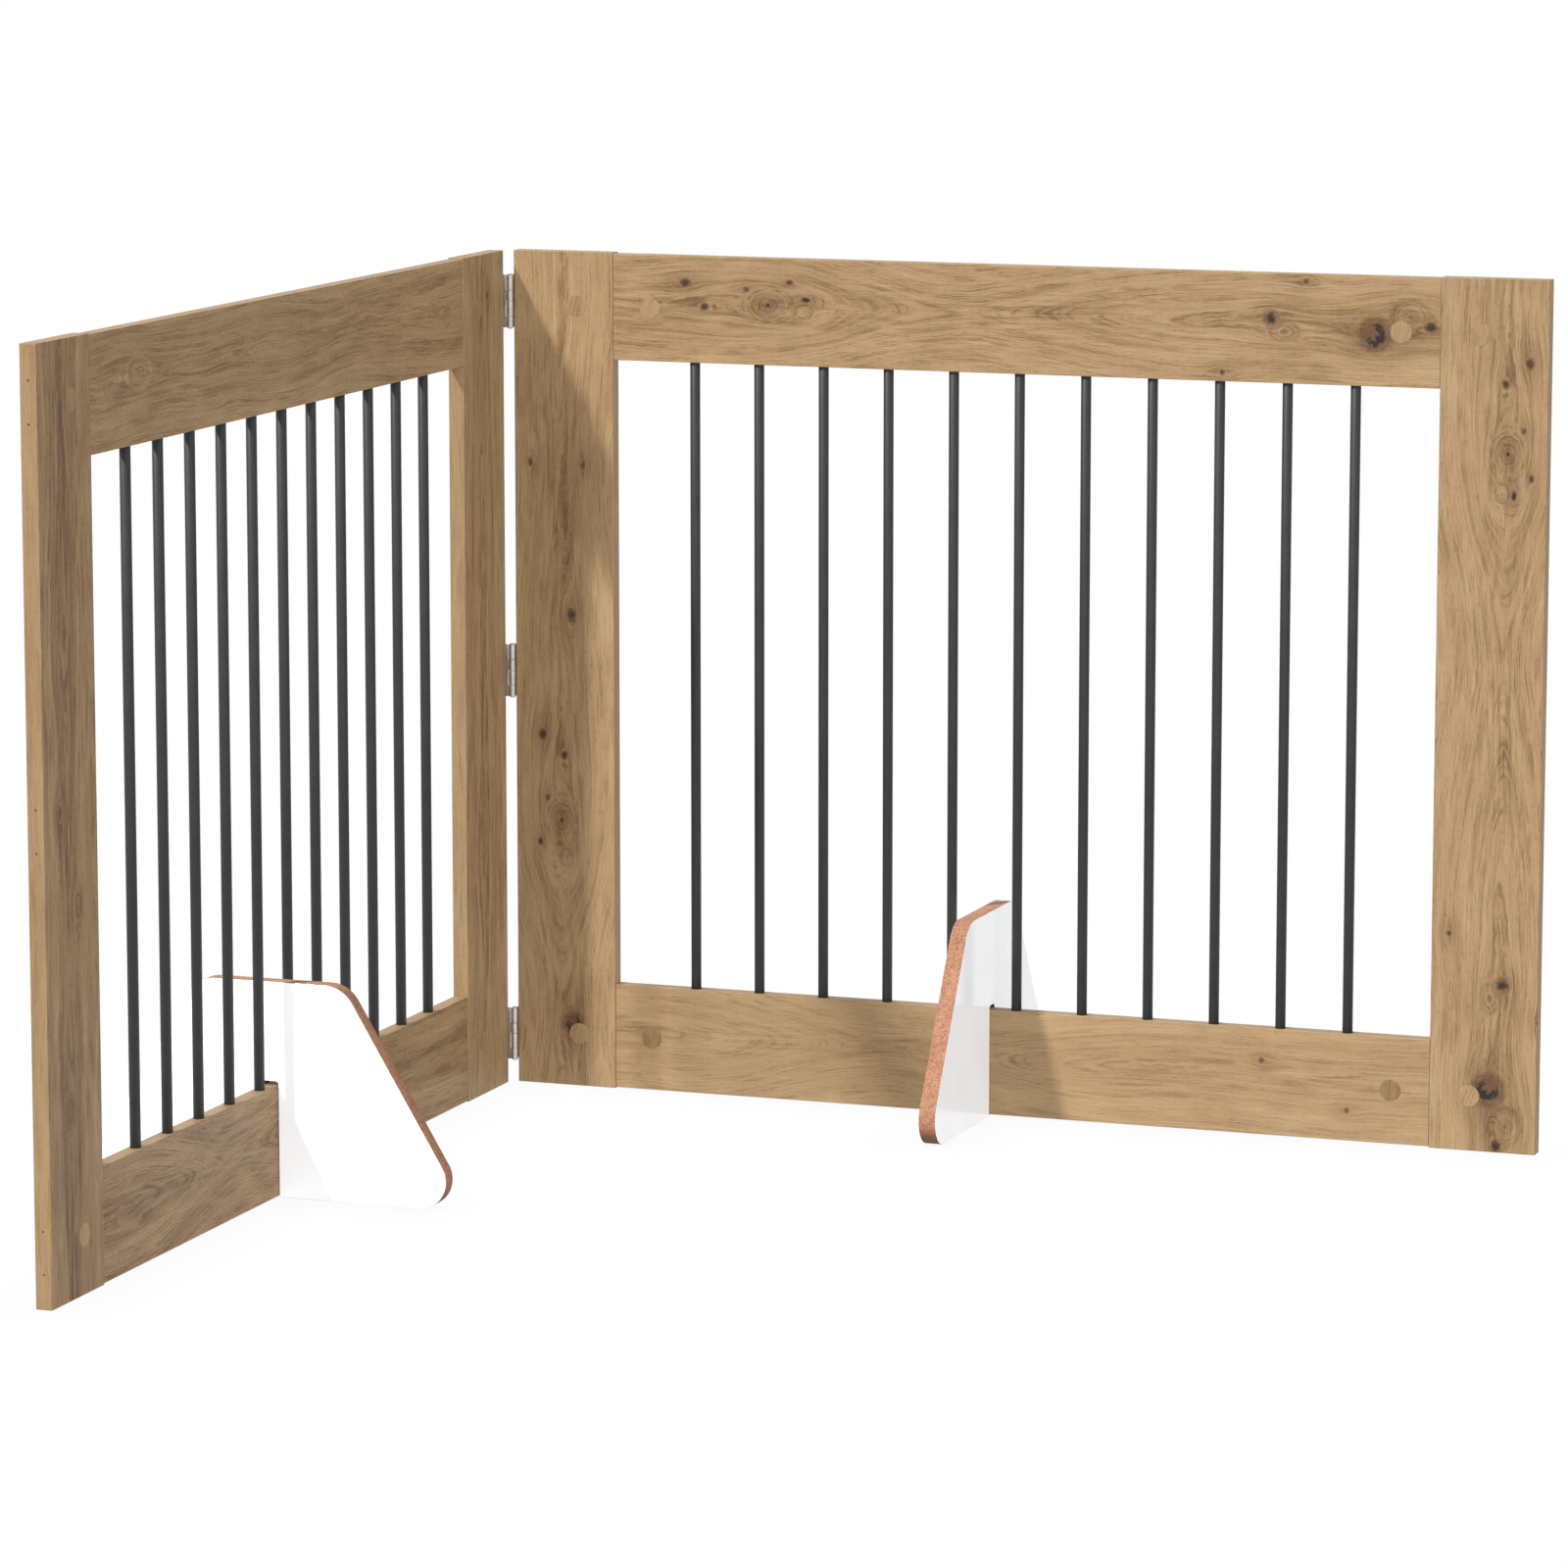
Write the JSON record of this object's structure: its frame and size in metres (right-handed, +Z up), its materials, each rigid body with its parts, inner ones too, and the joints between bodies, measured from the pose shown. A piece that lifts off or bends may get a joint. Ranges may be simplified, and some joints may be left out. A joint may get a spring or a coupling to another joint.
{
  "type": "folding pet gate",
  "caption": "Freestanding folding pet gate: two hinged oak-look frames with black steel bars and white slot-on feet.",
  "frame": {"origin": "on the floor, under the middle of the gate's bounding box with the panels at a right angle", "axes": "+Z up; the right panel runs along +X from the hinges and the left panel along -Y, with their inside faces looking into the corner between them"},
  "size_m": [1.1824, 1.1824, 0.8],
  "materials": {
    "oak_board": "matt oak decor with knots",
    "black_steel": "satin black powder coat",
    "white_board": "smooth white melamine with raw chipboard edges",
    "hinge_steel": "bright zinc plate",
    "screw_steel": "bright zinc plate"
  },
  "bodies": {
    "right_panel": {"right_hinge_stile": "oak_board", "right_outer_stile": "oak_board", "right_top_rail": "oak_board", "right_bottom_rail": "oak_board", "right_rod_01": "black_steel", "right_rod_02": "black_steel", "right_rod_03": "black_steel", "right_rod_04": "black_steel", "right_rod_05": "black_steel", "right_rod_06": "black_steel", "right_rod_07": "black_steel", "right_rod_08": "black_steel", "right_rod_09": "black_steel", "right_rod_10": "black_steel", "right_rod_11": "black_steel", "top_hinge_right_leaf": "hinge_steel", "middle_hinge_right_leaf": "hinge_steel", "bottom_hinge_right_leaf": "hinge_steel", "top_hinge_right_upper_screw": "screw_steel", "top_hinge_right_lower_screw": "screw_steel", "middle_hinge_right_upper_screw": "screw_steel", "middle_hinge_right_lower_screw": "screw_steel", "bottom_hinge_right_upper_screw": "screw_steel", "bottom_hinge_right_lower_screw": "screw_steel", "top_hinge_pin": "hinge_steel", "middle_hinge_pin": "hinge_steel", "bottom_hinge_pin": "hinge_steel"},
    "left_panel": {"left_hinge_stile": "oak_board", "left_outer_stile": "oak_board", "left_top_rail": "oak_board", "left_bottom_rail": "oak_board", "left_rod_01": "black_steel", "left_rod_02": "black_steel", "left_rod_03": "black_steel", "left_rod_04": "black_steel", "left_rod_05": "black_steel", "left_rod_06": "black_steel", "left_rod_07": "black_steel", "left_rod_08": "black_steel", "left_rod_09": "black_steel", "left_rod_10": "black_steel", "left_rod_11": "black_steel", "top_hinge_left_leaf": "hinge_steel", "middle_hinge_left_leaf": "hinge_steel", "bottom_hinge_left_leaf": "hinge_steel", "top_hinge_left_upper_screw": "screw_steel", "top_hinge_left_lower_screw": "screw_steel", "middle_hinge_left_upper_screw": "screw_steel", "middle_hinge_left_lower_screw": "screw_steel", "bottom_hinge_left_upper_screw": "screw_steel", "bottom_hinge_left_lower_screw": "screw_steel"},
    "right_foot": {"right_foot": "white_board"},
    "left_foot": {"left_foot": "white_board"}
  },
  "joints": [
    {"name": "panel_fold", "type": "hinge", "parent": "right_panel", "child": "left_panel", "pos_m": [-0.41043, 0.41043, 0.4], "axis": [0, 0, 1], "range_deg": [-90, 70]},
    {"name": "right_foot_lift", "type": "slide", "parent": "right_panel", "child": "right_foot", "axis": [0, 0, 1], "range_m": [0, 0.11]},
    {"name": "left_foot_lift", "type": "slide", "parent": "left_panel", "child": "left_foot", "axis": [0, 0, 1], "range_m": [0, 0.11]}
  ]
}
